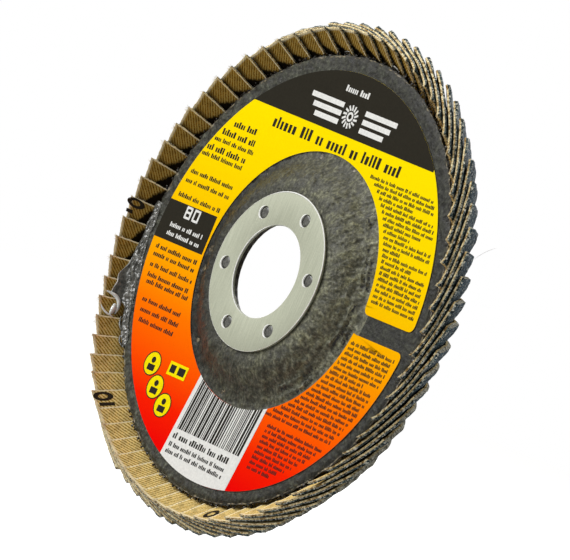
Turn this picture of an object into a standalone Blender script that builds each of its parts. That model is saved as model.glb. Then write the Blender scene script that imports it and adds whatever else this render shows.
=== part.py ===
"""Wrap-over abrasive flap disc for an angle grinder, with a 22.23 mm bore, upright as on a spindle.

Frame, in metres: Y is the disc's axis and +Z is the label's upward direction. The origin is on the axis, in
the rear face of the steel arbor ring. The grinder is on the -Y side, and the work is on the +Y side.
Lengths below are in millimetres, as `depth` along +Y from the ring's rear face and `radius` from the axis.
Angles run from +X towards +Z, anticlockwise for someone looking at the label.
"""

import math

import bmesh
import bpy
from mathutils import Matrix, Vector

MM = 0.001
AXIS = Vector((0.0, 1.0, 0.0))
TURN_STEPS = 36  # facets round each turned piece
BOND_GAP = 0.1  # clearance between two pieces that are bonded face to face

# Arbor ring
BORE_RADIUS = 11.115
RING_RADIUS = 19.05
RING_THICKNESS = 0.6
RING_HOLES = 6
RING_HOLE_RADIUS = 1.55
RING_HOLE_CIRCLE = 15.3
RING_HOLE_START = math.radians(6.2)

# Backing plate: a raised hub, an S-shaped slope and a rim that leans back a little towards the grinder
HUB_RISE = 5.8  # from the label's plane to the ring's rear face
PLATE_BORE_RADIUS = 12.2
HUB_RADIUS = 20.6
SLOPE_RADIUS = 30.8
SLOPE_STEPS = 4
RIM_LEAN = 0.037  # how far the rim rises towards the grinder, for each unit of radius
VEIL_THICKNESS = 0.3
GLASS_THICKNESS = 0.43
GLASS_PLIES = 3
PLUG_RADIUS = 1.25
PLUG_DEPTH = 0.1  # how far the resin plugs stop below the ring's rear face

# Flaps. The stack's inner surface is a turned profile: a flat front, a bend and a slanting rear wall.
FLAP_COUNT = 70
FLAP_PITCH = 2 * math.pi / FLAP_COUNT
FLAP_START = math.radians(5.0)
FLAP_DRIFT = math.radians(2.5)  # the flaps stand a little closer together towards -X,
FLAP_DRIFT_TWICE = math.radians(0.8)  # and this is the part of the drift that comes round twice
FLAP_WIDTH = 20.3
FLAP_THICKNESS = 0.72
ROOT_RADIUS = 36.0
FUSED_RADIUS = 43.0  # two neighbours are one block of glue and cloth up to here
BEND_RADIUS = 4.8
BEND_CENTRE = (49.8, 4.15)
BEND_ANGLE = math.radians(55.0)
BEND_STEPS = 3
WALL_LENGTH = 7.45
ROOT_RISE = 0.84  # how much higher each flap lies than its neighbour, at the root,
BEND_RISE = 0.86  # at the bend
END_RISE = 1.12  # and at the free end
END_SLANT = 0.25  # how far the free ends draw back, for each unit of height in the stack

# Glue and label
BED_CLEARANCE = 0.15
BED_ANGLE = math.radians(40.0)
RIM_CLEARANCE = 0.8
LABEL_INNER = 31.0
LABEL_OUTER = 50.4
LABEL_THICKNESS = 0.12
LABEL_GAP = (-5.0, 0.0)  # heights of the two edges of the label's gap
LABEL_CORNER = 2.0
LABEL_SHIFT = -0.35  # the paper is glued a little below centre
LABEL_STEPS = 48
BEAD_RADIUS = 0.42
BEAD_CIRCLE = 53.6
BEAD_ARC = (math.radians(186.0), math.radians(211.0))
BEAD_STEPS = 8
BEAD_SIDES = 8


# Materials and helpers


def principled(name, colour, roughness, metallic=0.0):
    material = bpy.data.materials.new(name)
    material.use_nodes = True
    shader = material.node_tree.nodes["Principled BSDF"]
    shader.inputs["Base Color"].default_value = (*colour, 1.0)
    shader.inputs["Roughness"].default_value = roughness
    shader.inputs["Metallic"].default_value = metallic
    material.diffuse_color = (*colour, 1.0)
    return material


def point(radius, depth, angle):
    """A place on the disc, in metres."""
    return Vector((radius * math.cos(angle), depth, radius * math.sin(angle))) * MM


def finish(bm, name, material):
    """Turns a bmesh into a named object with its faces pointing out."""
    bmesh.ops.recalc_face_normals(bm, faces=bm.faces)
    mesh = bpy.data.meshes.new(name)
    bm.to_mesh(mesh)
    bm.free()
    mesh.materials.append(material)
    mesh.shade_smooth()
    mesh.set_sharp_from_angle(angle=math.radians(30.0))
    obj = bpy.data.objects.new(name, mesh)
    bpy.context.scene.collection.objects.link(obj)
    obj.parent = disc
    return obj


def turned(name, outline, material):
    """Turns a closed outline of (radius, depth) points once round the axis."""
    bm = bmesh.new()
    corners = [bm.verts.new(point(radius, depth, 0.0)) for radius, depth in outline]
    edges = [bm.edges.new((a, b)) for a, b in zip(corners, corners[1:] + corners[:1])]
    bmesh.ops.spin(
        bm,
        geom=corners + edges,
        cent=(0.0, 0.0, 0.0),
        axis=AXIS,
        angle=2 * math.pi,
        steps=TURN_STEPS,
        use_merge=True,
    )
    bmesh.ops.remove_doubles(bm, verts=bm.verts, dist=1e-7)
    return finish(bm, name, material)


def pegs(name, radius, depths, material):
    """Six short cylinders on the ring's hole circle, between two depths."""
    bm = bmesh.new()
    for hole in range(RING_HOLES):
        angle = RING_HOLE_START + hole * 2 * math.pi / RING_HOLES
        centre = point(RING_HOLE_CIRCLE, sum(depths) / 2, angle)
        bmesh.ops.create_cone(
            bm,
            cap_ends=True,
            segments=14,
            radius1=radius * MM,
            radius2=radius * MM,
            depth=(depths[1] - depths[0]) * MM,
            matrix=Matrix.Translation(centre) @ Matrix.Rotation(math.pi / 2, 4, "X"),
        )
    tool = finish(bm, name, material)
    tool.hide_render = True
    tool.display_type = "WIRE"
    return tool


def boolean(target, tool, operation):
    modifier = target.modifiers.new(operation.title(), "BOOLEAN")
    modifier.operation = operation
    modifier.object = tool


# Backing plate


def plate_line():
    """The plate's rear surface from the bore to the end of the slope: (radius, depth, normal to the front)."""
    top = RING_THICKNESS + BOND_GAP
    drop = HUB_RISE - top
    line = [(PLATE_BORE_RADIUS, top, (0.0, 1.0))]
    for step in range(SLOPE_STEPS + 1):
        share = step / SLOPE_STEPS
        radius = HUB_RADIUS + (SLOPE_RADIUS - HUB_RADIUS) * share
        depth = top + drop * (1 - math.cos(math.pi * share)) / 2
        steepness = drop * math.pi * math.sin(math.pi * share) / 2 / (SLOPE_RADIUS - HUB_RADIUS)
        length = math.hypot(1.0, steepness)
        line.append((radius, depth, (-steepness / length, 1.0 / length)))
    return line


def rim_depth(radius):
    """The depth of the plate's rear surface beyond the slope."""
    return HUB_RISE - RIM_LEAN * (radius - SLOPE_RADIUS)


def rim_radius(below):
    """The rounded rim's radius, this far below the plate's rear surface. It follows the flaps inside."""
    reach = BEND_RADIUS - RIM_CLEARANCE
    depth = rim_depth(BEND_CENTRE[0] + reach) + below - BEND_CENTRE[1]
    tangent_depth = reach * math.cos(BEND_ANGLE)
    if depth > tangent_depth:
        return BEND_CENTRE[0] + math.sqrt(reach**2 - depth**2)
    return BEND_CENTRE[0] + reach * math.sin(BEND_ANGLE) + (tangent_depth - depth) / math.tan(BEND_ANGLE)


def ply(name, start, thickness, material):
    """One ply, whose rear face lies `start` below the plate's rear surface."""
    faces = []
    for offset in (start, start + thickness):
        line = [(r + n[0] * offset, d + n[1] * offset) for r, d, n in plate_line()]
        line.append((rim_radius(offset), rim_depth(rim_radius(offset)) + offset))
        faces.append(line)
    return turned(name, faces[0] + faces[1][::-1], material)


def arbor_ring(material):
    corners = [
        (BORE_RADIUS, 0.0),
        (RING_RADIUS, 0.0),
        (RING_RADIUS, RING_THICKNESS),
        (BORE_RADIUS, RING_THICKNESS),
    ]
    ring = turned("arbor_ring", corners, material)
    cutter = pegs("ring_hole_cutter", RING_HOLE_RADIUS, (-1.0, RING_THICKNESS + 1.0), material)
    boolean(ring, cutter, "DIFFERENCE")


def rear_veil(material):
    veil = ply("rear_veil", 0.0, VEIL_THICKNESS, material)
    ends = (PLUG_DEPTH, RING_THICKNESS + BOND_GAP + VEIL_THICKNESS / 2)
    boolean(veil, pegs("resin_plugs", PLUG_RADIUS, ends, material), "UNION")


def glass_plies(material):
    for number in range(GLASS_PLIES):
        start = VEIL_THICKNESS + BOND_GAP + number * (GLASS_THICKNESS + BOND_GAP)
        ply(f"glass_ply_{number + 1}", start, GLASS_THICKNESS, material)


def plate_thickness():
    return VEIL_THICKNESS + GLASS_PLIES * (GLASS_THICKNESS + BOND_GAP)


# Flaps


def stations():
    """The stack's inner surface, root to free end: (radius, depth, normal, rise, slant) at each station."""
    centre_radius, centre_depth = BEND_CENTRE
    front = centre_depth + BEND_RADIUS
    flat = centre_radius - ROOT_RADIUS
    for radius in (ROOT_RADIUS, FUSED_RADIUS):
        rise = ROOT_RISE + (BEND_RISE - ROOT_RISE) * (radius - ROOT_RADIUS) / flat
        yield radius, front, (0.0, 1.0), rise, 0.0
    for step in range(BEND_STEPS + 1):
        angle = BEND_ANGLE * step / BEND_STEPS
        normal = (math.sin(angle), math.cos(angle))
        radius = centre_radius + BEND_RADIUS * normal[0]
        yield radius, centre_depth + BEND_RADIUS * normal[1], normal, BEND_RISE, 0.0
    radius += WALL_LENGTH * math.cos(BEND_ANGLE)
    depth = centre_depth + BEND_RADIUS * normal[1] - WALL_LENGTH * math.sin(BEND_ANGLE)
    yield radius, depth, normal, END_RISE, END_SLANT


def flap_start(number):
    """The angle of a flap's first long edge."""
    even = FLAP_START + number * FLAP_PITCH
    return even + FLAP_DRIFT * math.sin(even) + FLAP_DRIFT_TWICE * math.cos(2 * even)


def flap_rows(number, bm):
    """A flap's corners: for each station, one list along its inner face and one along its outer face."""
    start = flap_start(number)
    rows = []
    for radius, depth, normal, rise, slant in stations():
        sweep = FLAP_WIDTH / (radius + 2 * normal[0])
        inner, outer = [], []
        for angle in (0.0, FLAP_PITCH, sweep / 2, sweep - FLAP_PITCH, sweep):
            height = rise * angle / FLAP_PITCH
            back = slant * height
            for face, lift in ((inner, height), (outer, height + FLAP_THICKNESS)):
                r = radius + normal[0] * lift - back * math.cos(BEND_ANGLE)
                d = depth + normal[1] * lift + back * math.sin(BEND_ANGLE)
                face.append(bm.verts.new(point(r, d, start + angle)))
        rows.append((inner, outer))
    return rows


def skin(bm, first, second, cells):
    """Quads between two lists of corners, for these cells."""
    for cell in cells:
        bm.faces.new((first[cell], first[cell + 1], second[cell + 1], second[cell]))


def free_sheet(bm, rows):
    """A flap's faces beyond the fused root, with its free end closed."""
    for (inner, outer), (next_inner, next_outer) in zip(rows[1:], rows[2:]):
        skin(bm, inner, next_inner, range(4))
        skin(bm, outer, next_outer, range(4))
        for side in (0, 4):
            bm.faces.new((inner[side], outer[side], next_outer[side], next_inner[side]))
    inner, outer = rows[-1]
    skin(bm, inner, outer, range(4))


def fused_root(bm, first, second):
    """The glued root of two neighbours. The second starts a pitch further round and lies under the first."""
    (over_in, over_out), (over_in2, over_out2) = first[0], first[1]
    (under_in, under_out), (under_in2, under_out2) = second[0], second[1]
    skin(bm, over_out, over_out2, range(4))
    skin(bm, over_in, over_in2, range(1))
    skin(bm, under_in, under_in2, range(4))
    skin(bm, under_out, under_out2, range(3, 4))
    sides = [
        (over_in[0], over_out[0], over_out2[0], over_in2[0]),
        (over_in[4], over_out[4], over_out2[4], over_in2[4]),
        (under_in[0], under_out[0], under_out2[0], under_in2[0]),
        (under_in[4], under_out[4], under_out2[4], under_in2[4]),
        (over_in[1], under_out[0], under_out2[0], over_in2[1]),
        (over_in[4], under_out[3], under_out2[3], over_in2[4]),
    ]
    for corners in sides:
        bm.faces.new(corners)
    bm.faces.new(over_in2[1:] + under_out2[3::-1])
    skin(bm, over_in, over_out, range(4))
    skin(bm, under_in, under_out, range(4))
    bm.faces.new(over_in[1:] + under_out[3::-1])


def flap_pairs(material):
    for pair in range(FLAP_COUNT // 2):
        bm = bmesh.new()
        first = flap_rows(2 * pair, bm)
        second = flap_rows(2 * pair + 1, bm)
        free_sheet(bm, first)
        free_sheet(bm, second)
        fused_root(bm, first, second)
        finish(bm, f"flap_pair_{pair + 1:02d}", material)


# Glue and label


def adhesive_bed(material):
    centre_radius, centre_depth = BEND_CENTRE
    reach = BEND_RADIUS - BED_CLEARANCE
    under = plate_thickness() + BOND_GAP
    hole = ROOT_RADIUS - 0.5
    outline = [(hole, rim_depth(hole) + under), (hole, centre_depth + reach)]
    for step in range(BEND_STEPS + 1):
        angle = BED_ANGLE * step / BEND_STEPS
        outline.append((centre_radius + reach * math.sin(angle), centre_depth + reach * math.cos(angle)))
    outline.append((rim_radius(under), rim_depth(rim_radius(under)) + under))
    turned("adhesive_bed", outline, material)


def rim_bead(material):
    """A short bar of glue along the rim, round in section and tapered to both ends."""
    bm = bmesh.new()
    rings = []
    for step in range(BEAD_STEPS + 1):
        share = step / BEAD_STEPS
        angle = BEAD_ARC[0] + (BEAD_ARC[1] - BEAD_ARC[0]) * share
        size = BEAD_RADIUS * (0.35 + 0.65 * math.sqrt(math.sin(math.pi * share)))
        ring = []
        for side in range(BEAD_SIDES):
            turn = 2 * math.pi * side / BEAD_SIDES
            radius = BEAD_CIRCLE + size * math.cos(turn)
            depth = rim_depth(BEAD_CIRCLE) - BOND_GAP - BEAD_RADIUS + size * math.sin(turn)
            ring.append(bm.verts.new(point(radius, depth, angle)))
        rings.append(ring)
    for ring, following in zip(rings, rings[1:]):
        for side in range(BEAD_SIDES):
            after = (side + 1) % BEAD_SIDES
            bm.faces.new((ring[side], ring[after], following[after], following[side]))
    bm.faces.new(rings[0])
    bm.faces.new(rings[-1])
    finish(bm, "rim_bead", material)


def label_corner(radius, height, towards):
    """A rounded corner of the label's gap, as three angles and radii, ending on the circle `radius`."""
    inset = LABEL_CORNER if radius == LABEL_INNER else -LABEL_CORNER
    on_edge = math.sqrt((radius + inset) ** 2 - height**2)
    edge = (on_edge, height)
    angle = math.asin(height / radius) + towards * LABEL_CORNER / radius
    on_circle = (radius * math.cos(angle), radius * math.sin(angle))
    sharp = (math.sqrt(radius**2 - height**2), height)
    middle = tuple(0.25 * e + 0.25 * c + 0.5 * s for e, c, s in zip(edge, on_circle, sharp))
    return [edge, middle, on_circle]


def label_sides():
    """The label's outer and inner side, as (x, z) in millimetres, anticlockwise from the gap's upper edge."""
    low, high = LABEL_GAP
    start = math.asin(high / LABEL_OUTER) + LABEL_CORNER / LABEL_OUTER
    end = 2 * math.pi + math.asin(low / LABEL_OUTER) - LABEL_CORNER / LABEL_OUTER
    turns = [start + (end - start) * step / LABEL_STEPS for step in range(1, LABEL_STEPS)]
    sides = []
    for radius in (LABEL_OUTER, LABEL_INNER):
        arc = [(radius * math.cos(turn), radius * math.sin(turn)) for turn in turns]
        sides.append(label_corner(radius, high, 1) + arc + label_corner(radius, low, -1)[::-1])
    return sides


def label(material):
    bm = bmesh.new()
    faces = []
    for lift in (0.0, LABEL_THICKNESS):
        for side in label_sides():
            row = []
            for x, z in side:
                depth = rim_depth(math.hypot(x, z + LABEL_SHIFT)) - BOND_GAP - lift
                row.append(bm.verts.new(Vector((x, depth, z + LABEL_SHIFT)) * MM))
            faces.append(row)
    outer, inner, raised_outer, raised_inner = faces
    cells = range(len(outer) - 1)
    strips = [(outer, inner), (raised_outer, raised_inner), (outer, raised_outer), (inner, raised_inner)]
    for first, second in strips:
        skin(bm, first, second, cells)
    for end in (0, -1):
        bm.faces.new((outer[end], inner[end], raised_inner[end], raised_outer[end]))
    finish(bm, "label", material)


for old in list(bpy.data.objects):
    bpy.data.objects.remove(old)

disc = bpy.data.objects.new("disc_axis", None)
bpy.context.scene.collection.objects.link(disc)

steel = principled("steel", (0.52, 0.54, 0.47), 0.35, 1.0)
black_cloth = principled("black_cloth", (0.05, 0.05, 0.045), 0.75)
glass_cloth = principled("glass_cloth", (0.35, 0.30, 0.18), 0.6)
epoxy = principled("epoxy", (0.04, 0.035, 0.03), 0.2)
printed_paper = principled("printed_paper", (0.95, 0.55, 0.05), 0.45)
flap_cloth = principled("flap_cloth", (0.45, 0.32, 0.15), 0.85)

arbor_ring(steel)
rear_veil(black_cloth)
glass_plies(glass_cloth)
adhesive_bed(epoxy)
rim_bead(epoxy)
label(printed_paper)
flap_pairs(flap_cloth)
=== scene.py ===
"""Visual pieces and materials for a wrap-over flap disc, seen from its label side, over the CAD parts.

Y is the disc's axis and +Z is the label's upward direction. Lengths are in millimetres. A place on
the disc is a radius, a depth along +Y from the arbor ring's rear face, and an angle from +X to +Z.
"""

import itertools
import math

import bmesh
import bpy
import numpy as np
from mathutils import Matrix, Vector


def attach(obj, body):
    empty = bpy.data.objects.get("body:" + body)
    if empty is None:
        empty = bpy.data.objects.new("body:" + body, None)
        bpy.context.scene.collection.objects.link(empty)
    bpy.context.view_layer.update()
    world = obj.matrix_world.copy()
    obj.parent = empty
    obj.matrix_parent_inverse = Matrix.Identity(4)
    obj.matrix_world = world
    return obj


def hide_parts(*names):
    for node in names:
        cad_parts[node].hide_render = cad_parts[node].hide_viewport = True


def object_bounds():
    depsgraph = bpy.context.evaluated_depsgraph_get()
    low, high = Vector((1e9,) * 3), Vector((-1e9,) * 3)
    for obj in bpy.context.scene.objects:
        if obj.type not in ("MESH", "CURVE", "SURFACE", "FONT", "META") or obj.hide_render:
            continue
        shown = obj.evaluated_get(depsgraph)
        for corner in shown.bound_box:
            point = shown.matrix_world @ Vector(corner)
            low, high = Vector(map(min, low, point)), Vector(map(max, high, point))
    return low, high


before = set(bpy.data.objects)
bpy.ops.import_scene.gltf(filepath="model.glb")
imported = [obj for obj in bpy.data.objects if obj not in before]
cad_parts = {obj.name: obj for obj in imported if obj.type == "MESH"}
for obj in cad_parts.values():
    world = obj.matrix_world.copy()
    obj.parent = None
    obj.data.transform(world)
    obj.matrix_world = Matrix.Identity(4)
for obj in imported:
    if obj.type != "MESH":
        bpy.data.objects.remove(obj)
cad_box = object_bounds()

MM = 0.001
TURN = 2 * math.pi

# The disc, as in the CAD
BORE_RADIUS = 11.115
RING_RADIUS = 19.05
RING_THICKNESS = 0.6
RING_HOLES = 6
RING_HOLE_RADIUS = 1.55
RING_HOLE_CIRCLE = 15.3
RING_HOLE_START = math.radians(6.2)
HUB_RISE = 5.8
HUB_RADIUS = 20.6
PLATE_BORE_RADIUS = 12.2
SLOPE_RADIUS = 30.8
RIM_LEAN = 0.037
BOND_GAP = 0.1
PLATE_THICKNESS = 1.89
FLAP_COUNT = 70
PITCH = TURN / FLAP_COUNT
FLAP_START = math.radians(5.0)
FLAP_DRIFT = math.radians(2.5)
FLAP_DRIFT_TWICE = math.radians(0.8)
FLAP_WIDTH = 20.3
ROOT_RADIUS = 36.0
BEND_RADIUS = 4.8
BEND_CENTRE = (49.8, 4.15)
BEND_ANGLE = math.radians(55.0)
WALL_LENGTH = 7.45
ROOT_RISE = 0.84
BEND_RISE = 0.86
END_RISE = 1.12
END_SLANT = 0.25
BED_CLEARANCE = 0.15
LABEL_INNER = 31.0
LABEL_OUTER = 50.4
LABEL_THICKNESS = 0.12
LABEL_SHIFT = -0.35
LABEL_GAP = (-5.0, 0.0)
LABEL_CORNER = 2.0

# How finely the pieces are made
SHARP_ANGLE = math.radians(50.0)
FLAP_STEP = 0.36
FLAT_STEP = 0.46
WALL_STEP = 0.35
VEIL_STEP = 0.35
VEIL_TURNS = 900
RING_TURNS = 180
BED_STEP = 0.6
BED_TURNS = 520
LABEL_TURNS = 360

# The veil, and its ridges as middle radius, sway, height and width; those beyond a radius get cracks of
# painted shade
VEIL_THICKNESS = 0.34
VEIL_RIDGES = (
    (29.5, 0.8, 0.50, 0.38), (28.0, 1.0, 0.55, 0.42), (26.2, 1.2, 0.30, 0.55), (23.6, 0.6, 0.28, 1.2),
)
VEIL_CRACKED = 27.0

# Cloth, grain, glue, resin and print
CLOTH_THICKNESS = 0.42
GRAIN_THICKNESS = 0.36
RIB_TURN = math.radians(-54.0)
STREAK_RADIUS = 30.0
BED_OUTER = 52.6
BIT_COUNT = 700
RESIN_START = math.radians(174.0)
RESIN_END = math.radians(213.0)
RESIN_LIP = slice(70, 176)
INK_THICKNESS = 0.02
INK_GAP = 0.01
PRINT_TILT = math.radians(-1.0)
CODE_TOP = -29.0
CODE_LEAN = math.tan(math.radians(5.5))

# The photograph's view: the axis's tilt and turn to it, its distance, and its width over its distance
VIEW_TILT = math.radians(51.3)
VIEW_TURN = math.radians(157.33)
VIEW_DISTANCE = 1370.0
VIEW_SPREAD = 0.095
VIEW_AIM = (0.1, -0.22)
SENSOR_WIDTH = 36.0

LATTICE_SIZE = 32
LATTICE = np.random.default_rng(7).uniform(-1.0, 1.0, (LATTICE_SIZE,) * 3)


# Places and noise


def place(radius, depth, angle):
    """Places on the disc as x, y, z in millimetres, from arrays or numbers."""
    radius, depth, angle = np.broadcast_arrays(radius, depth, angle)
    return np.stack([radius * np.cos(angle), depth, radius * np.sin(angle)], -1)


def noise(points, scale):
    """Smooth noise from -1 to 1 at these places, with lumps of this size."""
    spot = np.asarray(points, float) / scale
    low = np.floor(spot).astype(int)
    share = spot - low
    share = share * share * (3.0 - 2.0 * share)
    total = 0.0
    for corner in itertools.product((0, 1), repeat=3):
        weight = np.prod(np.where(np.array(corner, bool), share, 1.0 - share), -1)
        i, j, k = np.moveaxis((low + corner) % LATTICE_SIZE, -1, 0)
        total = total + weight * LATTICE[i, j, k]
    return total


def bump(value, centre, width):
    """1 at the centre, falling smoothly to 0 on both sides."""
    return np.exp(-(((value - centre) / width) ** 2))


def ramp(value, start, end):
    """0 before start, 1 after end, smooth between them."""
    share = np.clip((value - start) / (end - start), 0.0, 1.0)
    return share * share * (3.0 - 2.0 * share)


def shares(count):
    """This many values from 0 to 1."""
    return np.linspace(0.0, 1.0, count)


def turns(count):
    """This many angles, evenly once round."""
    return np.arange(count) * TURN / count


def bowed(first, pull, last, count):
    """Places along a curve from first to last that is pulled towards a third place."""
    share = shares(count)[:, None]
    return (1 - share) ** 2 * first + 2 * share * (1 - share) * pull + share**2 * last


def rim_depth(radius):
    """Depth of the plate's rear surface beyond the slope."""
    return HUB_RISE - RIM_LEAN * (radius - SLOPE_RADIUS)


def plate_depth(radius):
    """Depth of the plate's rear surface at any radius."""
    top = RING_THICKNESS + BOND_GAP
    share = np.clip((radius - HUB_RADIUS) / (SLOPE_RADIUS - HUB_RADIUS), 0.0, 1.0)
    slope = top + (HUB_RISE - top) * (1.0 - np.cos(math.pi * share)) / 2
    return np.where(radius > SLOPE_RADIUS, rim_depth(radius), slope)


def flap_start(number):
    """The angle of a flap's first long edge."""
    even = FLAP_START + number * PITCH
    return even + FLAP_DRIFT * math.sin(even) + FLAP_DRIFT_TWICE * math.cos(2 * even)


# Meshes


def in_scene(name, data):
    """A new object for this mesh, light or camera."""
    thing = bpy.data.objects.new(name, data)
    bpy.context.scene.collection.objects.link(thing)
    return thing


def add_piece(name, points, faces, materials, slot, replaced=(), kinds=None, uv=None):
    """A piece from points in millimetres and faces of equal length, riding on the disc."""
    faces = np.asarray(faces)
    mesh = bpy.data.meshes.new(name)
    mesh.vertices.add(len(points))
    mesh.vertices.foreach_set("co", (np.asarray(points) * MM).astype(np.float32).ravel())
    mesh.loops.add(faces.size)
    mesh.loops.foreach_set("vertex_index", faces.astype(np.int32).ravel())
    mesh.polygons.add(len(faces))
    mesh.polygons.foreach_set("loop_start", np.arange(0, faces.size, faces.shape[1], dtype=np.int32))
    mesh.update(calc_edges=True)
    for material in materials:
        mesh.materials.append(material)
    if kinds is not None:
        mesh.polygons.foreach_set("material_index", np.asarray(kinds, np.int32))
    if uv is not None:
        layer = mesh.uv_layers.new(name="cloth")
        layer.data.foreach_set("uv", np.asarray(uv)[faces.ravel()].astype(np.float32).ravel())
    mesh.shade_smooth()
    mesh.set_sharp_from_angle(angle=SHARP_ANGLE)
    piece = in_scene(name, mesh)
    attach(piece, "root")
    if replaced:
        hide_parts(*replaced)
    return piece


def grid_faces(rows, columns, first=0, around=False, closed=False):
    """Quads of a grid of points stored row by row, closed round its columns and its rows if asked."""
    index = first + np.arange(rows * columns).reshape(rows, columns)
    if closed:
        index = np.concatenate([index, index[:1]])
    if around:
        index = np.concatenate([index, index[:, :1]], 1)
    quads = np.stack([index[:-1, :-1], index[:-1, 1:], index[1:, 1:], index[1:, :-1]], -1)
    return quads.reshape(-1, 4)


def border(rows, columns):
    """Places of a grid's border points in its list, once round."""
    index = np.arange(rows * columns).reshape(rows, columns)
    return np.concatenate([index[0, :-1], index[:-1, -1], index[-1, :0:-1], index[:0:-1, 0]])


def outward(points, faces):
    """The faces, turned round if the closed shape would be inside out."""
    corners = points[faces]
    volume = 0.0
    for second in range(1, faces.shape[1] - 1):
        volume += np.linalg.det(corners[:, [0, second, second + 1]] - points.mean(0)).sum()
    return faces if volume > 0 else faces[:, ::-1]


def turned(points):
    """Points and faces of a closed body, from its outline's points at every turn round the axis."""
    faces = grid_faces(*points.shape[:2], around=True, closed=True)
    points = points.reshape(-1, 3)
    return points, outward(points, faces)


def capped(rings):
    """Points and faces of a closed stack of rings."""
    rows, sides = rings.shape[:2]
    points = rings.reshape(-1, 3)
    last = (rows - 1) * sides
    caps = []
    for i in range(1, sides - 2, 2):
        caps += [[0, i, i + 1, i + 2], [last, last + i + 2, last + i + 1, last + i]]
    return points, outward(points, np.concatenate([grid_faces(rows, sides, around=True), caps]))


def shell(near, far, rings=()):
    """A closed shell between two grids, with further rings of border points between them.

    Returns points, faces and each face's part: 0 near, 1 far, and 2 onwards for the bands between the rings.
    """
    rows, columns = near.shape[:2]
    size = rows * columns
    edge = border(rows, columns)
    points = np.concatenate([near.reshape(-1, 3), far.reshape(-1, 3), *rings])
    loops = [edge]
    for number in range(len(rings)):
        loops.append(2 * size + number * len(edge) + np.arange(len(edge)))
    loops.append(size + edge)
    faces = [grid_faces(rows, columns)[:, ::-1], grid_faces(rows, columns, size)]
    kinds = [0, 1]
    for number, (first, second) in enumerate(zip(loops, loops[1:])):
        band = [first, np.roll(first, -1), np.roll(second, -1), second]
        faces.append(np.stack(band, -1))
        kinds.append(2 + number)
    counts = [len(part) for part in faces]
    faces = outward(points, np.concatenate(faces))
    return points, faces, np.repeat(kinds, counts)


def joined(parts):
    """Several (points, faces) as one."""
    points, faces, used = [], [], 0
    for some_points, some_faces in parts:
        points.append(some_points)
        faces.append(np.asarray(some_faces) + used)
        used += len(some_points)
    return np.concatenate(points), np.concatenate(faces)


def tube(path, radius, sides=4):
    """A thin thread along a path, closed at both ends with a point."""
    path = np.asarray(path, float)
    ahead = np.gradient(path, axis=0)
    ahead /= np.linalg.norm(ahead, axis=1, keepdims=True)
    across = np.cross(ahead, (0.31, 0.87, 0.39))
    across /= np.linalg.norm(across, axis=1, keepdims=True)
    over = np.cross(ahead, across)
    turn = turns(sides)
    size = radius
    if np.ndim(radius) == 0:
        size = radius * np.sqrt(np.sin(np.linspace(0.06, math.pi - 0.06, len(path))))
    ring = np.cos(turn)[None, :, None] * across[:, None] + np.sin(turn)[None, :, None] * over[:, None]
    return capped(path[:, None] + ring * size[:, None, None])


# Materials


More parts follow.
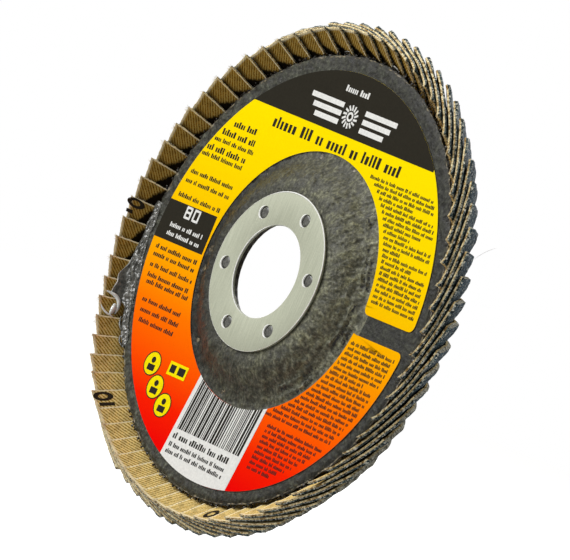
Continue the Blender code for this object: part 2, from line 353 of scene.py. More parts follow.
class Nodes:
    """A material's node tree, with short calls for adding nodes and links."""

    def __init__(self, name, roughness, metallic=0.0):
        self.material = bpy.data.materials.new(name)
        self.material.use_nodes = True
        self.tree = self.material.node_tree
        self.shader = self.tree.nodes["Principled BSDF"]
        self.shade(Roughness=roughness, Metallic=metallic)

    def put(self, node, socket, value):
        if isinstance(value, bpy.types.NodeSocket):
            self.tree.links.new(value, node.inputs[socket])
        else:
            node.inputs[socket].default_value = value

    def add(self, kind, output=0, settings=None, **inputs):
        node = self.tree.nodes.new(kind)
        for key, value in (settings or {}).items():
            setattr(node, key, value)
        for key, value in inputs.items():
            self.put(node, key.replace("_", " "), value)
        return node.outputs[output]

    def shade(self, **inputs):
        for key, value in inputs.items():
            self.put(self.shader, key.replace("_", " "), value)

    def maths(self, operation, first, second=0.0):
        node = self.tree.nodes.new("ShaderNodeMath")
        node.operation = operation
        self.put(node, 0, first)
        self.put(node, 1, second)
        return node.outputs[0]

    def total(self, first, second):
        return self.maths("ADD", first, second)

    def product(self, first, second):
        return self.maths("MULTIPLY", first, second)

    def axis(self, vector, number):
        return self.add("ShaderNodeSeparateXYZ", output=number, Vector=vector)

    def between(self, value, start, end, low=0.0, high=1.0):
        """From low to high as the value goes from start to end, and level outside them."""
        return self.add(
            "ShaderNodeMapRange", Value=value, From_Min=start, From_Max=end, To_Min=low, To_Max=high,
        )

    def millimetres(self, stretch=(1.0, 1.0, 1.0), turn=0.0):
        """The piece's own coordinates in millimetres, stretched, and turned about the disc's axis."""
        here = self.add("ShaderNodeTexCoord", output=3)
        scale = tuple(1000.0 / value for value in stretch)
        return self.add("ShaderNodeMapping", Vector=here, Scale=scale, Rotation=(0.0, turn, 0.0))

    def on_sheet(self, stretch=(1.0, 1.0), turn=0.0):
        """Millimetres across and along a flap, from its own map."""
        here = self.add("ShaderNodeUVMap", settings={"uv_map": "cloth"})
        aslant = self.add("ShaderNodeMapping", Vector=here, Rotation=(0.0, 0.0, turn))
        scale = (1.0 / stretch[0], 1.0 / stretch[1], 1.0)
        return self.add("ShaderNodeMapping", Vector=aslant, Scale=scale)

    def around_axis(self, stretch):
        """Radius, distance around the axis and depth in millimetres, stretched for a texture."""
        x, depth, z = [self.axis(self.millimetres(), number) for number in range(3)]
        radius = self.maths("SQRT", self.total(self.maths("POWER", x, 2.0), self.maths("POWER", z, 2.0)))
        around = self.product(self.maths("ARCTAN2", z, x), STREAK_RADIUS)
        both = self.add("ShaderNodeCombineXYZ", X=radius, Y=around, Z=depth)
        return self.add("ShaderNodeMapping", Vector=both, Scale=tuple(1.0 / value for value in stretch))

    def cloud(self, size, detail=3.0, roughness=0.6, where=None):
        """Soft noise with lumps of this size, in the piece's own space unless told otherwise."""
        where = where or self.millimetres()
        return self.add(
            "ShaderNodeTexNoise", Vector=where, Scale=1.0 / size, Detail=detail, Roughness=roughness,
        )

    def ramp(self, factor, *stops):
        node = self.tree.nodes.new("ShaderNodeValToRGB")
        elements = node.color_ramp.elements
        while len(elements) < len(stops):
            elements.new(0.5)
        for element, (position, colour) in zip(elements, stops):
            element.position = position
            element.color = (*colour, 1.0) if isinstance(colour, tuple) else (colour, colour, colour, 1.0)
        self.tree.links.new(factor, node.inputs[0])
        return node.outputs[0]

    def mix(self, factor, first, second, blend="MIX"):
        node = self.tree.nodes.new("ShaderNodeMix")
        node.data_type = "RGBA"
        node.blend_type = blend
        for socket, value in ((0, factor), (6, first), (7, second)):
            self.put(node, socket, (*value, 1.0) if isinstance(value, tuple) else value)
        return node.outputs[2]

    def tinted(self, colour, tint):
        return self.mix(1.0, colour, tint, "MULTIPLY")

    def relief(self, height, millimetres):
        return self.add("ShaderNodeBump", Height=height, Distance=millimetres * MM)


def cloth_material():
    """Golden twill: slanting ribs, stains, pale cut edges, painted shade in the folds, and dark glue with
    painted shade where it leaves the plate.
    """
    nodes = Nodes("twill_back", 0.95)
    rib = nodes.add(
        "ShaderNodeTexWave", output=1, Vector=nodes.on_sheet(turn=RIB_TURN), Scale=0.47,
        Distortion=1.6, Detail=2.0, Detail_Scale=2.0,
    )
    slub = nodes.cloud(1.0, 2.0, 0.7, nodes.on_sheet((0.30, 0.36), RIB_TURN))
    weave = nodes.total(nodes.product(rib, 0.42), nodes.product(slub, 0.85))
    colour = nodes.ramp(
        weave, (0.34, (0.15, 0.065, 0.004)), (0.54, (0.76, 0.48, 0.10)), (0.76, (1.0, 0.80, 0.36)),
    )
    stain = nodes.ramp(nodes.cloud(2.6, where=nodes.on_sheet()), (0.35, 0.66), (0.62, 1.0))
    colour = nodes.tinted(colour, stain)
    height = nodes.axis(nodes.millimetres(), 2)
    aside = nodes.axis(nodes.millimetres(), 0)
    across = nodes.axis(nodes.on_sheet(), 0)
    along = nodes.axis(nodes.on_sheet(), 1)

    # Darker and browner towards the top of the disc, and painted shade in the folds under the next flap's
    # edge
    soaked = nodes.ramp(nodes.between(height, -38.0, -19.0), (0.0, 1.0), (1.0, (0.50, 0.43, 0.27)))
    colour = nodes.tinted(colour, soaked)
    # Painted shade: darker near the far long edge, where the next flap lies over this one
    fold_shade = nodes.product(nodes.between(across, 4.1, 4.9), 0.6)
    colour = nodes.mix(fold_shade, colour, (0.07, 0.04, 0.012))

    # Dark glue and painted shade at the foot of the flaps on the left, where they go into the gap
    glue_and_shade = nodes.product(nodes.between(aside, 20.0, 0.0), nodes.between(height, -26.0, -12.0))
    foot = nodes.maths("SUBTRACT", along, nodes.product(across, 0.62))
    foot = nodes.total(foot, nodes.product(nodes.cloud(0.8, where=nodes.on_sheet()), 1.4))
    foot = nodes.maths("SUBTRACT", foot, nodes.product(nodes.between(aside, -51.0, -56.0), 1.6))
    glue_and_shade = nodes.product(glue_and_shade, nodes.between(foot, 19.5, 18.7))
    colour = nodes.mix(glue_and_shade, colour, (0.010, 0.007, 0.004))

    # Pale thread ends at the first long edge and the free end
    fluff = nodes.cloud(1.0, where=nodes.on_sheet((0.5, 0.35)))
    reach = nodes.total(nodes.product(fluff, 0.52), 0.10)
    first = nodes.ramp(nodes.maths("SUBTRACT", reach, across), (0.0, 0.0), (0.10, 1.0))
    end = nodes.product(nodes.between(along, 25.1, 25.6), nodes.ramp(fluff, (0.3, 0.2), (0.5, 1.0)))
    colour = nodes.mix(nodes.maths("MAXIMUM", first, end), colour, (0.95, 0.83, 0.54))
    nodes.shade(Base_Color=colour, Normal=nodes.relief(weave, 0.10), Specular_IOR_Level=0.0)
    return nodes.material


def edge_material(name, roughness, size, detail, stops, gaps, rough, specular):
    """A cut edge of the sheet: pale thread ends, with dark gaps between groups of them."""
    nodes = Nodes(name, roughness)
    spots = nodes.cloud(1.0, detail, where=nodes.millimetres((size,) * 3))
    gap_size, *gap_stops = gaps
    colour = nodes.tinted(nodes.ramp(spots, *stops), nodes.ramp(nodes.cloud(gap_size, 2.0), *gap_stops))
    nodes.shade(Base_Color=colour, Normal=nodes.relief(spots, rough), Specular_IOR_Level=specular)
    return nodes.material


def grain_material(name, *stops):
    """Grains in size, one tone to each grain, with some pale and glassy ones."""
    nodes = Nodes(name, 0.5)
    cell = nodes.add("ShaderNodeTexVoronoi", Vector=nodes.millimetres(), Scale=2.9).node
    tone = nodes.add("ShaderNodeSeparateColor", Color=cell.outputs["Color"])
    colour = nodes.tinted(nodes.ramp(tone, *stops), nodes.ramp(nodes.cloud(2.2), (0.3, 0.55), (0.7, 1.0)))
    height = nodes.total(cell.outputs["Distance"], nodes.cloud(0.12))
    shine = nodes.ramp(tone, (0.0, 0.75), (1.0, 0.35))
    relief = nodes.relief(height, 0.22)
    nodes.shade(Base_Color=colour, Normal=relief, Roughness=shine, Specular_IOR_Level=0.25)
    return nodes.material


def veil_material(name, low, high, stretch, lump, bloom):
    """Black non-woven soaked in resin, with fine streaks, and painted light and shade from `low` to `high`
    from one side to the other.
    """
    nodes = Nodes(name, 0.5)
    fibre = nodes.cloud(0.8, 4.0, 0.7)
    streak = nodes.cloud(1.0, 3.0, 0.5, nodes.around_axis(stretch))
    patch = nodes.cloud(lump, 4.0)
    height = nodes.total(nodes.product(fibre, 0.72), nodes.product(streak, 0.28))
    colour = nodes.ramp(
        height, (0.36, (0.012, 0.012, 0.008)), (0.5, (0.037, 0.037, 0.025)), (0.66, (0.100, 0.100, 0.072)),
    )
    colour = nodes.tinted(colour, nodes.ramp(patch, (0.36, 0.55), (0.5, 0.92), (0.66, bloom)))
    # Painted light and shade: the colour is scaled from `low` on one side of the disc to `high` on the other
    side = nodes.axis(nodes.millimetres(turn=math.radians(8.0)), 0)
    wear_and_side_light = nodes.between(side, -25.0, 25.0, low, high)
    colour = nodes.tinted(colour, nodes.add("ShaderNodeCombineColor", Red=wear_and_side_light, Green=wear_and_side_light, Blue=wear_and_side_light))
    relief = nodes.relief(nodes.total(height, patch), 0.30)
    shine = nodes.ramp(patch, (0.35, 0.4), (0.6, 0.6))
    nodes.shade(Base_Color=colour, Roughness=shine, Normal=relief, Specular_IOR_Level=0.3)
    return nodes.material


def steel_material():
    """Zinc-plated strip with fine upright brushing."""
    nodes = Nodes("brushed_plate", 0.6, 0.12)
    brushing = nodes.cloud(1.0, 4.0, 0.7, nodes.millimetres((0.30, 1.0, 9.0)))
    colour = nodes.ramp(brushing, (0.3, (0.37, 0.39, 0.285)), (0.7, (0.53, 0.55, 0.43)))
    colour = nodes.tinted(colour, nodes.ramp(nodes.cloud(0.4), (0.3, 0.88), (0.6, 1.0)))
    shine = nodes.ramp(brushing, (0.3, 0.5), (0.7, 0.65))
    relief = nodes.relief(brushing, 0.02)
    nodes.shade(Base_Color=colour, Roughness=shine, Normal=relief, Specular_IOR_Level=0.3)
    return nodes.material


def resin_material(name, dark, light, roughness, lump):
    """Cured resin or glue, mottled and glossy."""
    nodes = Nodes(name, roughness)
    cloud = nodes.cloud(lump, 4.0)
    colour = nodes.ramp(cloud, (0.3, dark), (0.7, light))
    nodes.shade(Base_Color=colour, Normal=nodes.relief(cloud, 0.15), Coat_Weight=0.4, Coat_Roughness=0.1)
    return nodes.material


def glass_material():
    """Woven glass roving soaked in amber resin, and in black resin round the bore."""
    nodes = Nodes("glass_weave", 0.42)
    rovings = []
    for direction in ("X", "Z"):
        rovings.append(nodes.add(
            "ShaderNodeTexWave", output=1, Vector=nodes.millimetres(), Scale=0.16, Distortion=0.5,
            settings={"bands_direction": direction},
        ))
    checks = nodes.add("ShaderNodeTexChecker", output=1, Vector=nodes.millimetres(), Scale=0.51)
    weave = nodes.tree.nodes.new("ShaderNodeMix")
    for socket, value in ((0, checks), (2, rovings[0]), (3, rovings[1])):
        nodes.put(weave, socket, value)
    strands = nodes.cloud(1.0, where=nodes.millimetres((0.25, 1.0, 0.25)))
    height = nodes.total(weave.outputs[0], nodes.product(strands, 0.3))
    colour = nodes.ramp(
        height, (0.2, (0.03, 0.022, 0.012)), (0.7, (0.13, 0.10, 0.055)), (1.0, (0.22, 0.185, 0.11)),
    )
    radius = nodes.axis(nodes.around_axis((1.0, 1.0, 1.0)), 0)
    soaked = nodes.ramp(nodes.maths("DIVIDE", radius, 50.0), (0.235, 0.14), (0.26, 1.0))
    colour = nodes.tinted(colour, soaked)
    nodes.shade(Base_Color=colour, Normal=nodes.relief(height, 0.12))
    return nodes.material


def label_material():
    """Print that runs from yellow at the top to red at the bottom, a little tilted."""
    nodes = Nodes("printed_gradient", 0.5)
    here = nodes.add("ShaderNodeTexCoord", output=3)
    height = nodes.total(nodes.axis(here, 2), nodes.product(nodes.axis(here, 0), 0.067))
    colour = nodes.ramp(
        nodes.between(height, -50.0 * MM, 40.0 * MM),
        (0.03, (0.86, 0.003, 0.002)), (0.12, (0.93, 0.015, 0.001)), (0.22, (0.97, 0.085, 0.001)),
        (0.34, (0.98, 0.18, 0.0005)), (0.46, (0.98, 0.37, 0.0005)), (0.60, (0.96, 0.55, 0.0005)),
        (0.76, (0.98, 0.69, 0.0005)), (0.95, (0.99, 0.76, 0.001)),
    )
    paper = nodes.cloud(0.5)
    colour = nodes.tinted(colour, nodes.ramp(paper, (0.3, 0.95), (0.7, 1.0)))
    nodes.shade(Base_Color=colour, Normal=nodes.relief(paper, 0.015), Specular_IOR_Level=0.0)
    return nodes.material


def ink_material(name, colour):
    nodes = Nodes(name, 0.45)
    faded = tuple(0.85 * value for value in colour)
    wear_and_side_light = nodes.ramp(nodes.cloud(0.6), (0.3, faded), (0.7, colour))
    nodes.shade(Base_Color=wear_and_side_light, Specular_IOR_Level=0.0)
    return nodes.material


# Flaps


def profile(along):
    """The stack's inner surface this far from the root.

    Returns its radius and depth, its normal's radius and depth, the stack's rise per flap, and its slant.
    """
    flat = BEND_CENTRE[0] - ROOT_RADIUS
    bend = BEND_RADIUS * BEND_ANGLE
    turn = np.clip((along - flat) / BEND_RADIUS, 0.0, BEND_ANGLE)
    wall = np.clip(along - flat - bend, 0.0, None)
    nr, nd = np.sin(turn), np.cos(turn)
    radius = np.minimum(ROOT_RADIUS + along, BEND_CENTRE[0])
    radius = radius + BEND_RADIUS * nr + wall * math.cos(BEND_ANGLE)
    depth = BEND_CENTRE[1] + BEND_RADIUS * nd - wall * math.sin(BEND_ANGLE)
    share = np.clip(wall / WALL_LENGTH, 0.0, 1.0)
    root = np.clip(along / flat, 0.0, 1.0)
    rise = ROOT_RISE + (BEND_RISE - ROOT_RISE) * root + (END_RISE - BEND_RISE) * share
    return radius, depth, nr, nd, rise, END_SLANT * share


def flap_rows():
    """Distances from the root at which a flap has a row of points."""
    flat = BEND_CENTRE[0] - ROOT_RADIUS + BEND_RADIUS * BEND_ANGLE
    first = np.linspace(0.0, flat, int(flat / FLAT_STEP) + 1)
    second = np.linspace(flat, flat + WALL_LENGTH, int(WALL_LENGTH / WALL_STEP) + 1)
    return np.concatenate([first, second[1:]])


class Flap:
    """One flap's shape: the CAD's wrap, with its own small shifts, waves, curl and bulge."""

    def __init__(self, number):
        self.number = number
        self.random = np.random.default_rng(100 + number)
        self.length = flap_rows()[-1]
        self.shift = self.random.uniform(-0.16, 0.16)
        self.start = flap_start(number)
        around = math.degrees(self.start) % 360.0
        self.longer = self.random.uniform(-0.2, 0.25) + 0.25 * bump(around, 118.0, 30.0)
        self.longer += 1.0 * bump(around, 222.0, 14.0)
        self.curl = self.random.uniform(0.10, 0.50)
        self.bow = self.random.uniform(-0.06, 0.06)
        self.bulge = self.random.uniform(0.45, 0.95)
        self.seed = np.array([number * 3.7, 0.0, number * 1.3])

    def sheet(self, along, across):
        """Places on the flat sheet, for noise that differs from flap to flap."""
        return np.stack([across, along, np.zeros_like(across)], -1) + self.seed

    def at(self, lift, along, across):
        """Places above the cloth face, along from the root and across from the first long edge."""
        along, across = np.broadcast_arrays(np.asarray(along, float), np.asarray(across, float))
        free = ramp(along, 0.45 * self.length, self.length)
        corner = np.clip(1.0 - across / 1.6, 0.0, 1.0) * ramp(along, self.length - 1.7, self.length)
        loose = 0.10 * noise(self.sheet(along, across), 5.0) * free + self.bow * free
        loose = loose - self.curl * corner**1.5
        loose = loose + 0.35 * self.bulge * self.outer_lobe(along, across)
        longer = self.longer + 0.65 * np.clip(1.0 - across / (0.26 * FLAP_WIDTH), 0.0, 1.0)
        radius, depth, nr, nd, rise, slant = profile(along + longer * free)
        sweep = FLAP_WIDTH / (radius + 2 * nr)
        angle = sweep * (across + self.shift * free) / FLAP_WIDTH
        height = rise * angle / PITCH + loose
        back = slant * height
        r = radius + nr * (height + lift) - back * math.cos(BEND_ANGLE)
        d = depth + nd * (height + lift) + back * math.sin(BEND_ANGLE)
        return place(r, d, self.start + angle)

    def outer_lobe(self, along, across):
        """How far a place belongs to the loosened part near the last long edge, from 0 to 1."""
        outermost = ramp(across, FLAP_WIDTH - 6.0, FLAP_WIDTH - 1.2) * ramp(along, 9.0, 16.0)
        return outermost * (1.0 - 0.35 * ramp(along, self.length - 3.0, self.length))

    def mesh(self):
        """Points, faces, material numbers and map: twill inside, grain outside, ragged edges."""
        rows = flap_rows()
        columns = np.linspace(0.0, FLAP_WIDTH, int(FLAP_WIDTH / FLAP_STEP) + 1)
        along, across = np.meshgrid(rows, columns, indexing="ij")
        sheet = self.sheet(along, across)
        end = along > self.length - WALL_STEP / 2
        first = across < FLAP_STEP / 2
        last = across > FLAP_WIDTH - FLAP_STEP / 2
        length_ways = sheet * (0.0, 1.0, 0.0) + self.seed
        zigzag = 0.13 * noise(length_ways, 0.42) * first + 0.12 * noise(length_ways + 8.0, 0.5) * last
        fray = 0.10 * noise(sheet + 5.0, 0.45) * end
        near = self.at(0.0, along + fray, across + zigzag)
        middle = self.at(CLOTH_THICKNESS, along + fray, across + zigzag)

        grit = 0.05 * self.random.uniform(-1.0, 1.0, along.shape) + 0.06 * noise(sheet + 9.0, 0.7)
        grit += 0.6 * self.bulge * self.outer_lobe(along, across)
        chipped = (0.04 + 0.22 * np.clip(noise(sheet + 31.0, 0.8) + 0.25, 0.0, 1.0)) * end
        bare = (0.42 + 0.2 * noise(length_ways + 17.0, 0.7)) * last
        bare -= (0.10 + 0.1 * noise(length_ways, 0.6)) * first
        far = self.at(CLOTH_THICKNESS + GRAIN_THICKNESS + grit, along - chipped, across - bare)
        edge = border(*along.shape)
        points, faces, kinds = shell(near, far, [middle.reshape(-1, 3)[edge]])
        flat_map = np.stack([across, along], -1).reshape(-1, 2)
        uv = np.concatenate([flat_map, flat_map, flat_map[edge] + 0.2])
        materials = np.array([0, 2, 1, 3])[kinds]
        on_last = (uv[faces, 0] > FLAP_WIDTH - FLAP_STEP).all(1)
        materials[(kinds == 3) & on_last] = 4
        return points, faces, materials, uv


def loose_threads(flap, random):
    """Short frayed threads at a flap's rear corner, its free end and its first long edge."""
    angle = math.degrees(flap_start(flap.number)) % 360.0
    fluffy = 1.0 if 75.0 < angle < 165.0 or 235.0 < angle < 320.0 else 0.35
    threads = []
    for _ in range(int(26 * fluffy) + random.integers(0, 5)):
        at_end = random.random() < 0.55
        across = abs(random.normal(0.0, 1.1)) if at_end else random.uniform(0.0, 0.1)
        along = flap.length - (random.uniform(0.0, 0.15) if at_end else abs(random.normal(0.0, 2.2)))
        start = flap.at(random.uniform(0.05, 0.3), along, across)
        ahead = flap.at(0.2, along + 1.0, across) - start
        side = flap.at(0.2, along, across - 1.0) - start
        lean = random.normal(0.0, 0.45)
        way = (ahead if at_end else side) + lean * (side if at_end else ahead) + random.normal(0.0, 0.3, 3)
        way /= np.linalg.norm(way)
        bend = random.normal(0.0, 0.5, 3)
        reach = random.uniform(0.25, 0.8) * (1.0 if at_end else 0.55)
        share = shares(5)[:, None]
        path = start + way * reach * share + bend * reach * share**2 * 0.5
        threads.append(tube(path, random.uniform(0.025, 0.05)))
    return threads


def add_flaps(flaps, materials):
    for flap in flaps:
        points, faces, kinds, uv = flap.mesh()
        pair = f"flap_pair_{flap.number // 2 + 1:02d}"
        add_piece(f"flap_{flap.number + 1:02d}", points, faces, materials, "flap_cloth", (pair,), kinds, uv)


def add_threads(flaps, material):
    random = np.random.default_rng(11)
    threads = []
    for flap in flaps:
        threads += loose_threads(flap, random)
    add_piece("frayed_threads", *joined(threads), [material], "flap_cloth")


def add_hair(material):
    """One long thread that stands out from the flaps' front edge at the right."""
    share = shares(16)
    angle = np.radians(19.5 + 3.3 * share - 1.4 * share**2)
    path = place(59.8 + 5.4 * share + 1.4 * share**2, 8.0 + 0.0 * share, angle)
    add_piece("loose_hair", *tube(path, 0.035), [material], "flap_cloth")


# Backing plate


def add_veil(materials):
    """The black veil over the plate's rear, wrinkled over the slope, rough at the rim, and with painted
    shade in its cracks.
    """
    radii = np.arange(PLATE_BORE_RADIUS, BEND_CENTRE[0] + BEND_RADIUS - 0.5, VEIL_STEP)
    radius, angle = np.meshgrid(radii, turns(VEIL_TURNS), indexing="ij")
    flat = place(radius, 0.0, angle)
    folds = np.stack([radius / 6.0, angle * 0.0, angle * 0.0], -1) + place(9.0, 0.0, angle)
    slope = ramp(radius, HUB_RADIUS - 1.0, HUB_RADIUS + 1.5) * (1.0 - ramp(radius, 30.3, 30.9))
    rim = ramp(radius, LABEL_OUTER + 0.1, LABEL_OUTER + 0.7)
    lines = noise(folds, 0.5) * 0.22 + noise(folds + 4.0, 1.3) * 0.2
    right = ramp(np.cos(angle + 0.1), 0.2, 0.8)
    ridge = 0.0
    shaded_crack = np.zeros(radius.shape, bool)
    wiggle = noise(flat, 0.7)
    for start, sway, height, wide in VEIL_RIDGES:
        middle = start + sway * noise(place(7.0, start, angle), 1.3) + 0.3 * wiggle
        strength = np.clip(0.65 + noise(place(9.0, 2 * start, angle), 1.0), 0.15, 1.3)
        ridge = ridge + height * strength * bump(radius, middle, wide) * right
        # Cracks along tall ridges, and a few creases, take the third material: near black, as painted shade
        seam = np.abs(radius - middle - 0.9 * wide) < 0.10
        shaded_crack = shaded_crack | (seam & (strength * right > 0.8 + 0.5 * wiggle) & (start > VEIL_CRACKED))
    creases = noise(folds * 1.6 + 11.0, 0.55)
    short = 0.3 * np.clip(creases, 0.0, 1.0) * bump(radius, 28.6, 2.2) * right
    shaded_crack = 2 * (shaded_crack | ((np.abs(creases - 0.05) < 0.012) & (bump(radius, 28.8, 1.6) * right > 0.6)))
    ridge = ridge + short
    rough = noise(flat, 0.55) * 0.10 + noise(flat, 1.6) * 0.12
    rise = slope * (lines + ridge + rough)
    left = 0.8 + 0.8 * ramp(np.cos(angle - 2.7), 0.1, 0.8)
    rise = rise + rim * left * (0.10 * noise(flat + 3.0, 0.5) + 0.15 * noise(flat, 1.5))
    hub = (radius > RING_RADIUS + 0.1) * (1.0 - slope) * (radius < HUB_RADIUS + 2)
    rise = rise + hub * 0.05 * noise(flat, 0.8)
    edge = ramp(radius, radii[-1] - 2.0, radii[-1])
    ragged = edge * (0.22 * noise(flat, 1.1) + 0.14 * noise(flat, 0.4))
    round_off = 0.5 * bump(radius, radii[-1], 0.7)
    near = place(radius + ragged, plate_depth(radius) - rise + round_off, angle)
    far = place(radius + ragged, plate_depth(radius) + VEIL_THICKNESS + round_off * 0.4, angle)
    points, faces = turned(np.concatenate([near, far[::-1]]))
    kinds = np.zeros(len(faces), int)
    kinds[: shaded_crack[:-1].size] = shaded_crack[:-1].reshape(-1)
    from_axis = np.linalg.norm(points[faces].mean(1)[:, [0, 2]], axis=1)
    kinds[(from_axis > LABEL_INNER + 2.0) & (kinds == 0)] = 1
    add_piece("veil_skin", points, faces, materials, "black_cloth", ("rear_veil",), kinds)


def dome(centre, radius, low, high, random, steps=28):
    """A lumpy button of resin between two depths, standing towards the grinder."""
    turn = turns(steps)
    phase = random.uniform(0, TURN)
    outline = (
        (1.0, low), (1.0, high + 0.10), (0.93, high + 0.03),
        (0.6, high), (0.25, high + 0.02), (0.02, high + 0.02),
    )
    rings = []
    for share, depth in outline:
        size = radius * share * (1.0 + 0.07 * np.sin(3 * turn + phase))
        rings.append(place(size, depth, turn) + centre)
    return capped(np.stack(rings))


def hole_centre(number, depth):
    """The middle of one of the arbor ring's holes, at this depth."""
    return place(RING_HOLE_CIRCLE, depth, RING_HOLE_START + number * TURN / RING_HOLES)


def add_plugs(material):
    random = np.random.default_rng(3)
    for hole in range(RING_HOLES):
        size = RING_HOLE_RADIUS - 0.16
        plug = dome(hole_centre(hole, 0.0), size, RING_THICKNESS + 0.15, 0.16, random)
        add_piece(f"resin_plug_{hole + 1}", *plug, [material], "epoxy", ("rear_veil",))


def add_ring(material):
    """The arbor ring, with softened edges and six holes."""
    soft = 0.09
    outline = [
        (BORE_RADIUS, RING_THICKNESS), (BORE_RADIUS, soft), (BORE_RADIUS + 0.3 * soft, 0.3 * soft),
        (BORE_RADIUS + soft, 0.0), (RING_RADIUS - soft, 0.0), (RING_RADIUS - 0.3 * soft, 0.3 * soft),
        (RING_RADIUS, soft), (RING_RADIUS, RING_THICKNESS),
    ]
    radius, depth = np.array(outline).T
    points = place(radius[:, None], depth[:, None], turns(RING_TURNS)[None])
    ring = add_piece("ring_plate", *turned(points), [material], "steel", ("arbor_ring",))
    bm = bmesh.new()
    for hole in range(RING_HOLES):
        centre = Matrix.Translation(Vector(hole_centre(hole, RING_THICKNESS / 2)) * MM)
        bmesh.ops.create_cone(
            bm, cap_ends=True, segments=40, radius1=RING_HOLE_RADIUS * MM, radius2=RING_HOLE_RADIUS * MM,
            depth=2 * MM, matrix=centre @ Matrix.Rotation(math.pi / 2, 4, "X"),
        )
    cut_with(ring, bm)


def add_highlight_lips(material):
    """A low burr that punching left round each hole and along the two edges of the ring, coloured near white
    as a painted highlight and thickest where the highlight falls.
    """
    turn = np.radians(np.linspace(0.0, 359.0, 40))
    # Thickest on one side of each hole, where the painted highlight falls
    size = 0.05 + 0.22 * ramp(np.cos(turn - math.radians(195.0)), 0.0, 0.8)
    highlight_lips = []
    for hole in range(RING_HOLES):
        highlight_lips.append(tube(hole_centre(hole, 0.05) + place(RING_HOLE_RADIUS + 0.06, 0.0, turn), size, 8))
    add_piece("hole_highlight_lips", *joined(highlight_lips), [material], "steel", ("arbor_ring",))
    round_edge = np.radians(np.linspace(230.0, 589.0, 240))
    # Edge threads are thickest where the painted highlights fall on the ring's outer and inner edge
    outer = 0.03 + 0.13 * ramp(np.cos(round_edge - math.radians(40.0)), 0.0, 0.6)
    inner = 0.03 + 0.14 * ramp(np.cos(round_edge - math.radians(185.0)), 0.2, 0.8)
    edges = [
        tube(place(RING_RADIUS, 0.03, round_edge), outer, 8),
        tube(place(BORE_RADIUS + 0.08, 0.03, round_edge), inner, 8),
    ]
    add_piece("ring_edge_highlights", *joined(edges), [material], "steel", ("arbor_ring",))


def cut_with(piece, bm):
    """Cuts these solids out of the piece, and leaves only its mesh."""
    mesh = bpy.data.meshes.new("cutter")
    bm.to_mesh(mesh)
    bm.free()
    cutter = in_scene("cutter", mesh)
    modifier = piece.modifiers.new("holes", "BOOLEAN")
    modifier.object = cutter
    bpy.context.view_layer.update()
    graph = bpy.context.evaluated_depsgraph_get()
    cut = bpy.data.meshes.new_from_object(piece.evaluated_get(graph))
    piece.modifiers.clear()
    piece.data = cut
    bpy.data.objects.remove(cutter)


def add_bed(material):
    """The glue between plate and flaps, lumpy where it was squeezed out at its inner edge."""
    reach = BEND_RADIUS - BED_CLEARANCE
    hole = ROOT_RADIUS - 0.5
    under = PLATE_THICKNESS + BOND_GAP
    outline = [(hole, rim_depth(hole) + under), (hole, BEND_CENTRE[1] + reach)]
    for degrees in range(0, 45, 8):
        turn = math.radians(degrees)
        outline.append((BEND_CENTRE[0] + reach * math.sin(turn), BEND_CENTRE[1] + reach * math.cos(turn)))
    outline.append((BED_OUTER, rim_depth(BED_OUTER) + under))
    corners = np.array(outline + outline[:1])
    steps = []
    for first, second in zip(corners, corners[1:]):
        count = max(2, int(np.linalg.norm(second - first) / BED_STEP))
        steps.append(first + (second - first) * np.arange(count)[:, None] / count)
    radius, depth = np.concatenate(steps).T
    angles = turns(BED_TURNS)[None]
    flat = place(radius[:, None], depth[:, None], angles)
    squeeze = 0.45 * np.clip(noise(flat, 2.4), 0.0, 1.0) + 0.10 * noise(flat, 0.8)
    inner = bump(radius, hole, 0.8)[:, None]
    points = place(radius[:, None] - inner * squeeze, depth[:, None], angles)
    add_piece("glue_bed", *turned(points), [material], "epoxy", ("adhesive_bed",))


def over_rim(radius):
    """Depth of a film that lies on the plate's rim, crosses the gap and climbs the flaps' inner side."""
    wall_start = BEND_CENTRE[0] + BEND_RADIUS * math.sin(BEND_ANGLE)
    wall_depth = BEND_CENTRE[1] + BEND_RADIUS * math.cos(BEND_ANGLE)
    wall = wall_depth - (radius - wall_start) * math.tan(BEND_ANGLE)
    return np.minimum(rim_depth(radius), wall)


